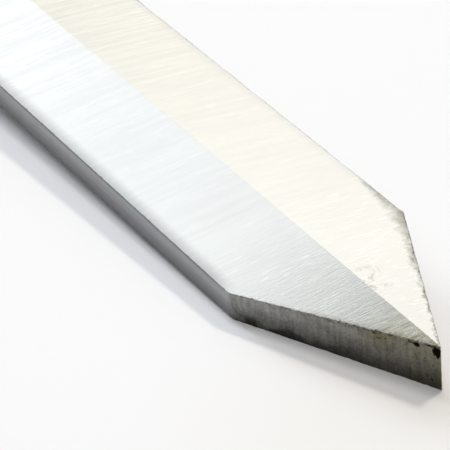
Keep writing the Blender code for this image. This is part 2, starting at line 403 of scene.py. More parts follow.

# %% [markdown]
# ## The blade's outline
# The real blade is one bar of high speed steel with a flattened six-sided section, and its point, shoulders
# and tang are ground in plan. It could be cut from a box by planes, but then every edge would be as sharp
# as a knife. Two drawings are enough: the half width at each place along the tool, and the height of the
# facet at each distance from the ridge. The cutting edge is honed to a few hundredths of a millimetre, and
# the thin bright line along it is a painted highlight.

# %% Plan of the blade
BLADE_WIDTH, EDGE_THICKNESS, POINT_LENGTH = 19.0, 2.95, 18.2
SHOULDER_START, SHOULDER_END = 17.0, 3.0
TANG_HALF, TANG_TAIL_HALF, TANG_POINT_HALF = 3.5, 2.5, 1.3
TANG_LENGTH, TANG_POINT = 74.0, 7.0
HONE_RADIUS = 0.05
CORNER_EASE, RIDGE_EASE = 0.2, 0.012
HALF_WIDTH = BLADE_WIDTH / 2
FACET_SLOPE = (RIDGE_THICKNESS - EDGE_THICKNESS) / BLADE_WIDTH
POINT_ANGLE = math.atan(HALF_WIDTH / POINT_LENGTH)
POINT_START = BLADE_REACH - POINT_LENGTH
HONE_CENTRE = BLADE_REACH - HONE_RADIUS
HONE_START = HONE_CENTRE + HONE_RADIUS * math.sin(POINT_ANGLE)
POINT_APEX = HONE_CENTRE + HONE_RADIUS / math.sin(POINT_ANGLE)


def soft_least(first, second, ease):
    """The smaller of two values, its corner rounded off where they differ by less than ease."""
    share = np.clip(0.5 + (second - first) / (2 * ease), 0, 1)
    return first * share + second * (1 - share) - ease * share * (1 - share)


def half_width(x):
    """Half the blade's width in plan: tang, cosine shoulder, straight bar, straight point, honed arc."""
    tang = np.interp(x, [-TANG_LENGTH, TANG_POINT - TANG_LENGTH, SHOULDER_END],
                     [TANG_POINT_HALF, TANG_TAIL_HALF, TANG_HALF])
    share = np.clip((x - SHOULDER_END) / (SHOULDER_START - SHOULDER_END), 0, 1)
    shoulder = TANG_HALF + (HALF_WIDTH + 1.0 - TANG_HALF) * (1 - np.cos(np.pi * share)) / 2
    point = (POINT_APEX - x) * math.tan(POINT_ANGLE)
    hone = np.sqrt(np.clip(HONE_RADIUS**2 - (x - HONE_CENTRE) ** 2, 0, None))
    bar = np.minimum(np.where(x < SHOULDER_END, tang, shoulder), HALF_WIDTH)
    return soft_least(bar, np.where(x < HONE_START, point, hone), CORNER_EASE)


def facet_height(y):
    """Height over the middle plane, falling evenly from a ridge that is eased a little."""
    return RIDGE_THICKNESS / 2 - FACET_SLOPE * (np.sqrt(y * y + RIDGE_EASE**2) - RIDGE_EASE)


def blade_stations():
    """Places along the blade, closest together at the point, where the chips are."""
    ends = [-TANG_LENGTH, TANG_POINT - TANG_LENGTH, SHOULDER_END, SHOULDER_START, 100.0, POINT_START - 1,
            POINT_START + 1, 175.0, HONE_START]
    counts = [5, 22, 40, 60, 120, 24, 140, 80]
    runs = [np.linspace(*run, endpoint=False) for run in zip(ends[:-1], ends[1:], counts)]
    hone = HONE_CENTRE + HONE_RADIUS * np.sin(np.linspace(POINT_ANGLE, np.pi / 2, 9))
    return np.hstack([*runs, hone])


stations = blade_stations()
print(len(stations), "rows along the blade")

# %% [markdown]
# ## Arrises, nicks and the chipped corner
# A ground bar has no knife-sharp corners. Its long arrises are rubbed down, while the edges of the point
# keep the wheel's ragged burr. So each of the four has its own width, which wanders along the blade. Nicks
# could be cut out with booleans, but an arris is a curve between facet and wall, so a nick is simply a
# place where that curve cuts deeper.

# %% Values that swell and wander
HEIGHTS, HEIGHTS_START = 4096, 1000.0


def swell(place, low, high):
    """0 before low, 1 after high, smooth between: 3 s^2 - 2 s^3. With low above high it falls instead."""
    share = np.clip((place - low) / (high - low), 0.0, 1.0)
    return share * share * (3 - 2 * share)


def smooth_noise(place, spacing, seed):
    """A wandering value from 0 to 1: seeded random heights every spacing, joined by smooth steps."""
    heights = np.random.default_rng(seed).random(HEIGHTS)
    step = np.asarray(place, float) / spacing + HEIGHTS_START
    whole = np.floor(step).astype(int)
    share = swell(step - whole, 0.0, 1.0)
    return heights[whole % HEIGHTS] * (1 - share) + heights[(whole + 1) % HEIGHTS] * share


print("a wandering value at 0.5: %.3f" % smooth_noise(0.5, 1.0, 11))

# %% How far each arris is cut back
FAR_NICKS = [  # place along the tool, half length, depth
    (166.1, 1.2, 0.14), (168.4, 0.4, 0.10), (170.9, 0.7, 0.24), (173.2, 0.4, 0.12), (175.3, 0.3, 0.09),
]
ARRISES = [  # seed, width along the bar, at the point's corner and at the tip, size of its nicks
    (11, 0.05, 0.05, 0.035, 0.04),  # near, upper
    (21, 0.25, 0.05, 0.035, 0.05),  # near, lower
    (31, 0.40, 0.16, 0.030, 0.07),  # far, upper
    (41, 0.25, 0.20, 0.050, 0.05),  # far, lower
]
DEEPEST_CUT = 0.42  # share of the half width


def arris_cut(x, seed, bar, corner, tip, ragged):
    """Width of one arris: bar along the blade, then falling from corner to tip along the point. Nicks of the
    size ragged are the crests of a wandering value, which a high power leaves over."""
    on_point = swell(x, POINT_START - 0.4, POINT_START + 0.4)
    rubbed = bar * (0.85 + 0.3 * smooth_noise(x, 3.0, seed))
    places = [POINT_START, POINT_START + 9.0, BLADE_REACH]
    ground = np.interp(x, places, [corner, 0.3 * corner + 0.7 * tip, tip])
    crests = 0.6 * smooth_noise(x, 0.35, seed + 1) ** 3 + smooth_noise(x, 0.9, seed + 2) ** 4
    ground = ground * (0.6 + 0.8 * smooth_noise(x, 0.22, seed + 3)) + ragged * crests
    return np.minimum(rubbed * (1 - on_point) + ground * on_point, DEEPEST_CUT * half_width(x))


def far_nicks(x):
    """Depth of the larger nicks on the far edge: an arch over each one, with a ragged floor."""
    place, half, depth = np.array(FAR_NICKS).T[:, :, None]
    arches = depth * np.clip(1 - ((x - place) / half) ** 2, 0, 1) ** 1.5
    return np.sum(arches, axis=0) * (0.5 + smooth_noise(x, 0.16, 51))


near_top, near_bottom, far_top, far_bottom = (arris_cut(stations, *row) for row in ARRISES)
far_top = np.minimum(far_top + far_nicks(stations), DEEPEST_CUT * half_width(stations))
print("widest nick on the far edge: %.2f mm" % far_top[stations > POINT_START + 1].max())

# %% [markdown]
# ## Half a section at a time
# Half a section runs from the top ridge over a facet, round an arris, down a wall, round the lower arris
# and back along the lower facet. Sections could be drawn one by one, but for all rows at once they are a
# few arrays side by side. The other half is the same with its own arrises, turned over. Columns crowd next
# to each arris, so that the flats stay flat when they are shaded smooth.

# %% Sections of the blade
FACET_SHARES = np.hstack([0, 0.0015, 0.006, 0.02, np.linspace(0.06, 0.97, 13), 0.99, 0.998, 1.0])
WALL_SHARES = np.hstack([0.0, 0.002, np.linspace(0.01, 0.99, 40), 0.998, 1.0])
ARRIS_COLUMNS = 7
ARRIS_FLATNESS = 0.8  # 0 rounds an arris, 1 makes it a flat chamfer


def bent(first, pull, last, t):
    """A Bezier curve: its start times (1 - t)^2, a pull times 2 t (1 - t), its end times t^2."""
    return (1 - t) ** 2 * first + 2 * t * (1 - t) * pull + t**2 * last


def half_section(x, top_cut, bottom_cut):
    """(outward, height) from the top ridge to the bottom one: facet, arris, wall, arris, facet. An arris is
    a curve from its facet to the wall, pulled towards the corner between them."""
    width = half_width(x)[:, None]
    corner = facet_height(width)
    t = np.linspace(0, 1, ARRIS_COLUMNS)

    def quarter(cut):
        inner = width - cut[:, None]
        top, foot = facet_height(inner), corner - cut[:, None]
        pull_y = width + ARRIS_FLATNESS * ((inner + width) / 2 - width)
        pull_z = corner + ARRIS_FLATNESS * ((top + foot) / 2 - corner)
        facet_y = inner * FACET_SHARES
        y = np.hstack([facet_y, bent(inner, pull_y, width, t)[:, 1:]])
        z = np.hstack([facet_height(facet_y), bent(top, pull_z, foot, t)[:, 1:]])
        return y, z, foot

    top_y, top_z, wall_top = quarter(top_cut)
    low_y, low_z, wall_low = quarter(bottom_cut)
    wall_z = wall_top + (-wall_low - wall_top) * WALL_SHARES
    wall_y = np.broadcast_to(width, wall_z.shape)
    y = np.hstack([top_y, wall_y[:, 1:], low_y[:, -2::-1]])
    z = np.hstack([top_z, wall_z[:, 1:], -low_z[:, -2::-1]])
    return y, z


def blade_surface():
    """The far half down and the near half back up, as rows x columns of (x, y, z), closed at the tang."""
    far_y, far_z = half_section(stations, far_top, far_bottom)
    near_y, near_z = half_section(stations, near_top, near_bottom)
    y = np.hstack([far_y[:, :-1], -near_y[:, :0:-1]])
    z = np.hstack([far_z[:, :-1], near_z[:, :0:-1]])
    x = np.broadcast_to(stations[:, None], y.shape)
    surface = np.stack([x, y, z], axis=-1)
    end = np.array([[[-TANG_LENGTH, 0.0, 0.0]]])
    return np.concatenate([np.broadcast_to(end, (1, y.shape[1], 3)), surface])


surface = blade_surface()
print("blade grid:", surface.shape[0], "x", surface.shape[1])

# %% [markdown]
# ## Pits, and marks for dirt
# The near bevel has a dark pit behind the cutting edge, a smaller one further along and a few specks.
# Painted spots would look flat when the light moves, so the pits are pressed in along the bevel's own
# normal. How dark each place is goes into the mesh as a mark that the finish reads, and so does which
# ground face a point lies on.

# %% Press the pits and mark the dirt
BEVEL_INWARD = np.array([-math.sin(POINT_ANGLE), math.cos(POINT_ANGLE), 0.0])
ON_WALL = 1e-6  # how near to the plan's outline a point of the wall is
PITS = [  # distance from the cutting edge along the bevel, height, half length, half height, depth
    (0.40, 1.67, 0.47, 0.68, 0.12),
    (1.05, 2.24, 0.50, 0.09, 0.04),
    (2.23, 1.93, 0.32, 0.28, 0.09),
    (2.75, 2.00, 0.35, 0.11, 0.05),
    (0.88, -1.57, 0.16, 0.14, 0.05),
    (6.25, 1.86, 0.22, 0.10, 0.03),
    (5.76, 1.46, 0.26, 0.08, 0.03),
    (5.16, 1.54, 0.16, 0.07, 0.02),
]


def bump(along, height, pit):
    """1 in the middle of a pit, 0 at its ragged rim: a paraboloid over an ellipse with a wandering edge."""
    place, level, half_length, half_height, _ = pit
    across, up = (along - place) / half_length, (height - level) / half_height
    angle = np.arctan2(up, across)
    rim = 0.95 + 0.34 * (smooth_noise(angle * 2.1 + place * 9, 1.0, 71) - 0.5)
    rim = rim + 0.22 * (smooth_noise(angle * 6.3 + place * 5, 1.0, 74) - 0.5)
    return np.clip(1 - (across**2 + up**2) / rim**2, 0, 1)


def dress_blade(points):
    """Presses the pits in. Returns the points, and marks for bevel, narrow edge, grime and soiled tip."""
    x, y, z = np.moveaxis(points, -1, 0)
    along = (BLADE_REACH - x) / math.cos(POINT_ANGLE)
    width = half_width(x)
    on_wall = (np.abs(np.abs(y) - width) < ON_WALL) & (x > SHOULDER_END)
    pressed, dark = np.zeros_like(x), np.zeros_like(x)
    for pit in PITS:
        shape = bump(along, z, pit) * on_wall * (y < 0) * (x > POINT_START)
        pressed += pit[-1] * np.sqrt(shape)
        dark = np.maximum(dark, swell(shape, 0.0, 0.3))
    points = points + np.minimum(pressed, 0.3 * width)[..., None] * BEVEL_INWARD
    on_point = swell(x, POINT_START - 0.5, POINT_START + 0.5)
    honed = swell(x, HONE_START - 0.02, HONE_START) * (y > -0.02)
    far_dirt = swell(np.interp(x, stations, far_nicks(stations)), 0.08, 0.3) * on_point
    far_dirt = far_dirt * ((y > 0) & (z > 0) & (width - y < np.interp(x, stations, far_top) + 0.02))
    marks = {
        "bevel": on_wall * on_point * (1 - honed),
        "narrow_edge": on_wall * (1 - on_point),
        "grime": np.maximum(dark, 0.25 * far_dirt),
        "soiled": swell(x, 169.0, 178.0) * (y < 0.05) * (z > -2.3),
    }
    return points, marks


surface, blade_marks = dress_blade(surface)
blade = tube_piece("ground_blade", surface, blade_marks)
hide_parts("blade")

# %% [markdown]
# ## What the steel's finish knows
# The wheel leaves fine scratches across the facets and straight up the bevels, its passes show on the back
# of the bar, and the narrow edges keep the lines they were drawn with. Each is a noise that is fine one way
# and slow the other. Dirt and wear follow edges, so the finish also works out how far a point is from them.
# A painted map could hold all this, but it would blur close up.


# %% Place, marks and bumps on a piece
def along_tool(place):
    """Millimetres along the tool's own axes: the laying down, undone."""
    back = laid.inverted()
    return place.turned(back.to_euler("XYZ"), back.translation).times((1 / MM, 1 / MM, 1 / MM))


def read_marks(place, *names):
    """The values per point that a mesh carries under these names."""
    return [place.node("ShaderNodeAttribute", {"attribute_name": name}, out=2) for name in names]


def bumped(relief, strength, depth):
    """A normal bent by a relief, where 1 is as high as the depth in millimetres."""
    sockets = {"Height": relief, "Strength": strength, "Distance": depth * MM}
    return relief.node("ShaderNodeBump", sockets=sockets)


foot = laid.inverted() @ Vector(tip) / MM
print("foot of the cutting edge along the tool:", np.array(foot).round(2))

# %% Noises for the steel
SCRATCH_SLANT = (0.0, 0.0, math.radians(7.0))
SLANTED_MARKS = {  # how fine per millimetre along, across and up the tool, then detail and roughness
    "fine": ((6.5, 0.6, 0.8), 2.5, 0.6),
    "broad": ((2.2, 0.25, 0.35), 3.0, 0.6),
    "passes": ((0.9, 0.05, 0.07), 5.0, 0.7),
}
SQUARE_MARKS = {
    "cloud": ((0.10, 0.12, 0.12), 2.0, 0.5),
    "blotch": ((0.8, 0.8, 0.8), 3.0, 0.6),
    "grain": ((3.8, 3.8, 3.8), 3.0, 0.75),
    "speck": ((3.4, 3.4, 3.4), 3.0, 0.7),
    "burr": ((2.4, 0.2, 0.2), 3.0, 0.7),
    "drawn": ((0.06, 4.0, 4.0), 3.0, 0.6),
    "haze": ((0.05, 0.16, 0.16), 4.0, 0.65),
    "chips": ((1.1, 1.1, 0.3), 4.0, 0.65),
    "rising": ((2.4, 2.4, 0.22), 3.0, 0.6),
}


def steel_noises(place):
    """One noise of each kind, by name."""
    slanted = place.turned(SCRATCH_SLANT)
    noises = {name: slanted.noise(*row) for name, row in SLANTED_MARKS.items()}
    return noises | {name: place.noise(*row) for name, row in SQUARE_MARKS.items()}


print(len(SLANTED_MARKS) + len(SQUARE_MARKS), "kinds of mark on the steel")


# %% Where a point lies on the blade
def read_blade(place):
    """What the finish knows at a point: x along, y across and z up the tool in millimetres, inset from the
    plan's outline, drop below the facets, masks for parts of the blade, the mesh's marks and the noises."""
    x, y, z = (place.node("ShaderNodeSeparateXYZ", sockets={0: place}, out=axis) for axis in range(3))
    outward = y.maths("ABSOLUTE", y)
    from_bevel = ((POINT_APEX - x) * math.tan(POINT_ANGLE) - outward) * math.cos(POINT_ANGLE)
    at = SimpleNamespace(place=place, x=x, y=y, z=z, **steel_noises(place))
    at.scratch = at.fine.step(0.30, 0.72) * 0.4 + at.broad.step(0.3, 0.7) * 0.3
    at.scratch = at.scratch + at.grain.step(0.3, 0.7) * 0.3
    at.mottle = at.blotch.step(0.36, 0.64)
    at.inset = from_bevel.least(HALF_WIDTH - outward).most(0.0)
    at.drop = (RIDGE_THICKNESS / 2 - FACET_SLOPE * outward - z).most(0.0)
    at.away = at.inset + at.drop
    at.facet = at.drop.step(0.5, 0.1)
    at.near, at.far = y.step(0.1, -0.1), y.step(-0.1, 0.1)
    at.back = (0.2 + 0.8 * x.step(140.0, 80.0)) * x.step(166.0, 150.0)
    at.reground = 0.25 + 0.75 * x.step(148.0, 165.0) + 0.75 * x.step(135.0, 85.0)
    at.bevel, at.side, at.pitted, at.soiled = read_marks(place, "bevel", "narrow_edge", "grime", "soiled")
    return at


print("point's corner at %.1f mm, apex at %.2f mm" % (POINT_START, POINT_APEX))

# %% [markdown]
# ## Bare steel
# The facets are pale, and their scratches are painted paler as glints where the bar was ground again. The
# bevels are coarser, with painted shade that darkens them towards the foot and painted light near the
# point's corner. The narrow edges are drawn, not ground, with painted shade on their lower side. One tone
# would be simpler, but then only the light would tell one face from the next.

# %% Tones of bare steel
FACET = ((0.53, 0.535, 0.535), (0.57, 0.575, 0.57))
# a painted glint for the scratches, then a painted highlight for the honed edge
FACET_PAINTED_GLINT, HONED_HIGHLIGHT = (0.67, 0.67, 0.655), (0.93, 0.92, 0.87)
# painted shade low on the bevels, the upper tone, and painted light near the point's corner
BEVEL_SHADED_LOW = ((0.040, 0.039, 0.037), (0.102, 0.100, 0.095))
BEVEL_HIGH = ((0.125, 0.122, 0.110), (0.31, 0.306, 0.280))
BEVEL_CORNER_LIGHT = ((0.162, 0.160, 0.147), (0.350, 0.347, 0.323))
# the narrow edges' tones, with painted shade towards their lower side
NARROW_EDGE_SHADED_BELOW = ((0.160, 0.153, 0.150), (0.435, 0.437, 0.445))
# a nearly black painted shade for the bevel's foot, then the lines drawn on the narrow edges
PAINTED_FOOT_SHADE, DRAWN_LINES = (0.05, 0.05, 0.05), (0.80, 0.80, 0.80)
PASSES_SHADE, TANG_SHADE = (0.78, 0.78, 0.79), (0.42, 0.40, 0.39)


def bevel_tone(at):
    """Wheel marks in two tones. Painted shade: dark below, pale above, a nearly black foot behind the tip.
    """
    wheel = at.rising.step(0.32, 0.68) * 0.36 + at.mottle * 0.34 + at.grain.step(0.42, 0.58) * 0.30
    # painted light: the upper tone turns lighter towards the point's corner
    high = at.x.step(172.0, 161.0).between(wheel.between(*BEVEL_HIGH), wheel.between(*BEVEL_CORNER_LIGHT))
    # painted shade: darker towards the bottom of the bevel
    tone = at.z.step(-2.4, 1.2).between(wheel.between(*BEVEL_SHADED_LOW), high)
    # painted shade: a nearly black foot behind the tip
    foot = (at.z + 0.8 * at.mottle).step(-0.2, -1.1) * at.x.step(174.0, 167.0)
    return tone.shaded(foot * (0.45 + 0.25 * at.x.step(168.0, 163.0)), PAINTED_FOOT_SHADE)


def bare_tone(at):
    """Facet, bevel or narrow edge by the marks, then wheel passes, dark tang, painted highlight on the honed
    edge.
    """
    # painted glints: scratches made paler where the bar was ground again
    painted_glint = at.fine.step(0.58, 0.70) * at.reground * 0.75
    facet = painted_glint.between(at.scratch.between(*FACET), FACET_PAINTED_GLINT)
    # painted shade: the narrow edge darker towards its lower side
    narrow = at.z.step(-1.6, 2.0).between(*NARROW_EDGE_SHADED_BELOW).shaded(at.drawn.step(0.4, 0.6) * 0.5, DRAWN_LINES)
    tone = (at.bevel + at.side).between(facet, at.bevel.between(narrow, bevel_tone(at)))
    tone = tone.shaded(at.passes.step(0.42, 0.58) * at.back * 0.5, PASSES_SHADE)
    tone = tone.shaded(at.x.step(9.0, -4.0), TANG_SHADE)
    # painted highlight: a bright line on the honed cutting edge
    honed = at.x.step(HONE_START - 0.02, HONE_START) * at.y.step(-0.04, 0.0)
    return tone.under(honed, HONED_HIGHLIGHT)


print("bevels reflect from %.2f to %.2f" % (BEVEL_SHADED_LOW[0][0], BEVEL_CORNER_LIGHT[1][0]))

# %% [markdown]
# ## Soil, swarf and chips
# Sap and dust brown the tip, and there is a stain beside the ridge. Black swarf sits in the pits and in a
# broken line along the bevel's upper edge, and the far edge has a chipped grey band. Each is a noise cut
# off at a level and kept to its place by the distances above. Flakes could be modelled, but they are
# thinner than the scratches.

# %% Tones of dirt
STAIN_PLACE, SAP_PLACE = (167.0, 0.8, 2.4), (172.9, -2.7, 1.6)
BROWN, SMUDGE, DULL = (0.86, 0.835, 0.65), (0.52, 0.48, 0.38), (0.66, 0.665, 0.67)
STAIN, SAP, STREAK = (0.36, 0.35, 0.28), (1.0, 0.92, 0.60), (0.45, 0.42, 0.36)
CHIPPED, BLACK = (0.22, 0.22, 0.19), (0.004, 0.0035, 0.002)


def chipped_band(at):
    """1 on a ragged band inside the far edge: inset and chips together, divided by the band's width."""
    corner = at.x.step(151.0, 159.5) * at.x.step(163.5, 160.2)
    width = 0.25 + 0.95 * at.x.step(150.0, 160.0) * at.x.step(174.0, 161.0) + 0.35 * corner
    band = ((at.inset + 1.8 * (at.chips - 0.5)) / width).step(1.1, 0.0) * at.far * at.facet
    return band * (0.5 + 0.5 * at.mottle.most(corner)) * (1.0 - 0.35 * at.x.step(166.0, 173.0))


def soiled_tone(tone, at, band):
    """The bare tone, browned at the tip, smudged at the near edge, dulled, chipped, stained and streaked."""
    patchy = 0.4 + 0.6 * at.mottle
    tone = tone.shaded(at.soiled * patchy, BROWN)
    smudge = at.away.step(0.7, 0.0) * at.near * at.x.step(160.0, 172.0) * (0.25 + 0.75 * at.mottle)
    tone = tone.shaded(smudge * 0.5, SMUDGE)
    dull = at.inset.step(1.45, 0.0) * at.facet * at.x.step(161.0, 157.0) * (0.3 + 0.7 * at.near)
    tone = tone.shaded(dull, DULL).under(band, CHIPPED)
    stain = at.chips.step(0.49, 0.62) * at.place.away_from(STAIN_PLACE).step(2.7, 0.6) * at.far
    tone = tone.shaded(stain * (0.25 + 0.75 * at.speck.step(0.42, 0.60)) * 0.6, STAIN)
    tone = tone.shaded(at.place.away_from(SAP_PLACE).step(1.8, 0.5) * at.bevel * patchy, SAP)
    return tone.shaded(at.fine.step(0.50, 0.36) * at.soiled * at.near * (1.0 - at.bevel), STREAK)


def black_dirt(at):
    """1 where it is black: pits, spots, soil at the tip, swarf on edges and ridge, the broken burr line."""
    spots = at.speck.step(0.70, 0.78) * (0.12 + 0.2 * at.bevel + 0.3 * at.back * at.haze.step(0.5, 0.6))
    soil = at.speck.step(0.55, 0.67) * at.soiled * 0.55
    sides = at.x.step(160.0, 172.0) * (0.75 * at.near + 0.35 * at.far * at.facet)
    swarf = at.speck.step(0.51, 0.63) * at.away.step(0.5, 0.05) * sides
    ridge = at.y.step(-0.5, -0.15) * at.near * at.drop.step(0.3, 0.1) * at.x.step(172.5, 176.5)
    ridge = at.speck.step(0.50, 0.60) * ridge * 0.7
    width = 0.07 + 0.15 * at.burr.step(0.48, 0.75)
    strength = 0.35 + 0.2 * at.x.step(158.0, 161.0) + 0.15 * at.x.step(162.0, 171.0)
    line = (at.away / width).step(1.0, 0.5) * at.near * strength * (0.3 + 0.7 * at.speck.step(0.38, 0.52))
    return at.pitted.most(spots).most(soil).most(swarf).most(ridge).most(line)


print("stain at %.0f mm, sap at %.0f mm along the tool" % (STAIN_PLACE[0], SAP_PLACE[0]))

# %% [markdown]
# ## The steel, put together
# Bare steel comes first, then soil, then what is black and has lost its metal and its gloss. The scratches
# also change the roughness and a very shallow bump. Without them the facets would mirror the panels like
# polished plate.


# %% Finish of the steel
def steel_roughness(at, band, black):
    """Smooth facets, rougher bevels, edges, band and back of the bar, and most of all where it is black."""
    rough = 0.14 + 0.05 * at.scratch + 0.08 * at.bevel + 0.21 * at.side + 0.03 * at.cloud.step(0.3, 0.7)
    worn = 0.05 * at.passes.step(0.4, 0.6) + 0.07 * at.haze.step(0.45, 0.62)
    return (rough + 0.12 * band + at.back * worn) * (1.0 - black) + 0.85 * black


def steel_relief(at):
    """Scratches, calmer on the far side, with the passes on the bar and the drawn lines on its edges."""
    scratches = (at.fine * 0.45 + at.broad * 0.3 + at.grain * 0.25) * at.reground * (1.0 - 0.4 * at.far)
    return scratches + at.passes * at.back * 1.2 + at.drawn * at.side * 0.5


def ground_steel():
    """Tone, roughness, metal and relief, all from the same marks and places."""
    material, shader, place = new_finish("ground_steel")
    place = along_tool(place)
    at = read_blade(place)
    band, black = chipped_band(at), black_dirt(at)
    tone = soiled_tone(bare_tone(at), at, band)
    plug(shader, Base_Color=tone.under(black, BLACK), Metallic=1.0 - black * 0.9)
    plug(shader, Roughness=steel_roughness(at, band, black))
    plug(shader, Normal=bumped(steel_relief(at), 0.42, 0.02), Specular_IOR_Level=0.03)
    return material


blade.data.materials.append(ground_steel())
print("steel on", blade.name)

# %% [markdown]
# ## Turned pieces
# The ferrule and the handle come off a lathe, so each is an outline of (distance behind the ferrule's
# mouth, radius) carried round the tool's axis. Corners are eased first, then points are filled in so that
# no step is long. A Screw modifier could do it, but then wear that differs round the piece would have no
# points to move.


# %% Turn an outline
def eased(corners, cuts, steps):
    """A closed outline whose corners become curves between points a cut away along their two sides."""
    corners, cut = np.array(corners, float), np.array(cuts, float)[:, None]
    before, after = np.roll(corners, 1, axis=0) - corners, np.roll(corners, -1, axis=0) - corners
    first = corners + before / np.linalg.norm(before, axis=1, keepdims=True) * cut
    last = corners + after / np.linalg.norm(after, axis=1, keepdims=True) * cut
    t = np.linspace(0, 1, steps)[None, :, None]
    return bent(first[:, None], corners[:, None], last[:, None], t).reshape(-1, 2)


def filled(outline, spacing):
    """The same outline with more points on it, at even steps of its length, and its own points kept."""
    reach = np.hstack([0.0, np.cumsum(np.linalg.norm(np.diff(outline, axis=0), axis=1))])
    even = np.arange(spacing, reach[-1], spacing)
    even = even[np.abs(even[:, None] - reach).min(axis=1) > 0.3 * spacing]
    at = np.unique(np.hstack([reach, even]).round(6))
    return np.column_stack([np.interp(at, reach, column) for column in outline.T])


def ring_points(distance, radius, angle):
    """Rows x columns of points: x = -distance, y = radius cos angle, z = radius sin angle."""
    grid = np.broadcast_arrays(-distance, radius * np.cos(angle), radius * np.sin(angle))
    return np.stack(grid, axis=-1)


def carried_round(outline, columns):
    """The outline's points on a ring of columns, and the angle of each."""
    angle = np.linspace(0, 2 * np.pi, columns, endpoint=False)[None, :]
    points = ring_points(outline[:, :1], outline[:, 1:], angle)
    return points, np.broadcast_to(angle, points.shape[:2])


print("lathe helpers are ready")

# %% [markdown]
# ## The ferrule
# A brass tube keeps the wood from splitting when the tang is driven. Its mouth is rolled in to a lip, and a
# crimp near the back locks it to the spigot. The crimp could be a groove cut into the outside, but a real
# one goes through the wall, so the same dip is taken off the outside and the bore. Pressed by hand it isn't
# even: its depth wanders, and there are a few small dings.

# %% Shape the ferrule
FERRULE_LENGTH, FERRULE_RADIUS, FERRULE_WALL = 28.0, 10.0, 1.1
LIP_THICKNESS, LIP_INNER_RADIUS, LIP_ROLL = 1.2, 7.6, 1.5
CRIMP_CENTRE, CRIMP_LENGTH, CRIMP_DEPTH = 21.0, 3.2, 0.45
FERRULE_EASES = [0.25, LIP_ROLL, 0.25, 0.15, 0.3, 0.25]
FERRULE_DINGS = [  # distance, angle, half width, depth
    (6.5, 2.4, 0.9, 0.05), (12.0, 5.2, 0.6, 0.04), (25.2, 0.9, 0.7, 0.05), (16.4, 3.9, 0.5, 0.03),
]


def crimp_dip(distance):
    """How far the crimp presses in: depth times the squared cosine of the share of its length."""
    share = np.clip((distance - CRIMP_CENTRE) / CRIMP_LENGTH, -0.5, 0.5)
    return CRIMP_DEPTH * np.cos(np.pi * share) ** 2


def dings(distance, angle, radius, places):
    """Depth of small hollows: a paraboloid over a circle, squared for a soft rim."""
    pressed = np.zeros(angle.shape)
    for at, turned_by, half, depth in places:
        round_by = (angle - turned_by + np.pi) % (2 * np.pi) - np.pi
        off = ((distance - at) ** 2 + (round_by * radius) ** 2) / half**2
        pressed += depth * np.clip(1 - off, 0, 1) ** 2
    return pressed


def ferrule_surface():
    """The wall's closed outline, carried round, with the crimp and the dings taken off the radius."""
    bore = FERRULE_RADIUS - FERRULE_WALL
    corners = [(0.0, LIP_INNER_RADIUS), (0.0, FERRULE_RADIUS), (FERRULE_LENGTH, FERRULE_RADIUS),
               (FERRULE_LENGTH, bore), (LIP_THICKNESS, bore), (LIP_THICKNESS, LIP_INNER_RADIUS)]
    outline = eased(corners, FERRULE_EASES, 9)
    outline = filled(np.vstack([outline, outline[:1]]), 0.3)
    points, angle = carried_round(outline, 120)
    distance, radius = outline[:, :1], outline[:, 1:]
    uneven = 1 + 0.12 * np.sin(3 * angle + 0.7) + 0.06 * np.sin(7 * angle)
    outside = swell(radius, bore + 0.3, FERRULE_RADIUS - 0.3)
    inward = crimp_dip(distance) * (1 + outside * (uneven - 1) * 0.5)
    inward = inward + outside * dings(distance, angle, radius, FERRULE_DINGS)
    points[..., 1] -= inward * np.cos(angle)
    points[..., 2] -= inward * np.sin(angle)
    off_crimp = np.abs(distance - CRIMP_CENTRE)
    shoulders = swell(off_crimp, 1.2, 1.7) * swell(off_crimp, 2.6, 1.9)
    rubbed = np.maximum(swell(distance, 1.3, 0.2), shoulders) * outside
    soiled = np.maximum(swell(distance, 27.2, 27.9), swell(crimp_dip(distance), 0.25, 0.45))
    return points, {"rubbed": rubbed + 0 * angle, "soiled": soiled + 0 * angle}


ferrule_points, ferrule_marks = ferrule_surface()
ferrule = tube_piece("rolled_ferrule", ferrule_points, ferrule_marks)
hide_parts("ferrule")

# %% [markdown]
# ## Brass
# Turned brass shows fine lines round it, and dulls to brown where fingers don't rub it. A picture of
# brushed metal would stretch over the lip. So a noise that is very fine along the tool gives the lines, a
# cloudy one gives the tarnish, and marks from the mesh keep the lip and the crimp's shoulders bright.

# %% Finish of the brass
BRASS, RUBBED_BRASS = ((0.76, 0.53, 0.22), (0.83, 0.60, 0.28)), (0.90, 0.68, 0.35)
TARNISH, BRASS_SOIL = (0.50, 0.31, 0.11), (0.20, 0.12, 0.05)


def turned_brass():
    """Brass with turning lines in its gloss, brown tarnish in clouds and bright rubbed shoulders."""
    material, shader, place = new_finish("turned_brass")
    place = along_tool(place)
    lines = place.noise((11.0, 0.06, 0.06), 3.0, 0.6)
    cloud = place.noise((0.22, 0.2, 0.2), 4.0, 0.6)
    speck = place.noise((1.6, 1.6, 1.6), 3.0, 0.7)
    rubbed, soiled = read_marks(place, "rubbed", "soiled")
    tarnish = (cloud.step(0.42, 0.68) * 0.7 + speck.step(0.55, 0.72) * 0.35) * (1.0 - 0.8 * rubbed)
    tone = lines.step(0.3, 0.7).between(*BRASS).under(tarnish, TARNISH)
    tone = tone.under(soiled * 0.65, BRASS_SOIL).under(rubbed * 0.6, RUBBED_BRASS)
    rough = 0.20 + 0.10 * lines.step(0.3, 0.7) + 0.16 * tarnish + 0.2 * soiled - 0.06 * rubbed
    plug(shader, Base_Color=tone, Roughness=rough, Metallic=1.0, Normal=bumped(lines, 0.25, 0.02))
    return material


ferrule.data.materials.append(turned_brass())
print("brass on", ferrule.name)

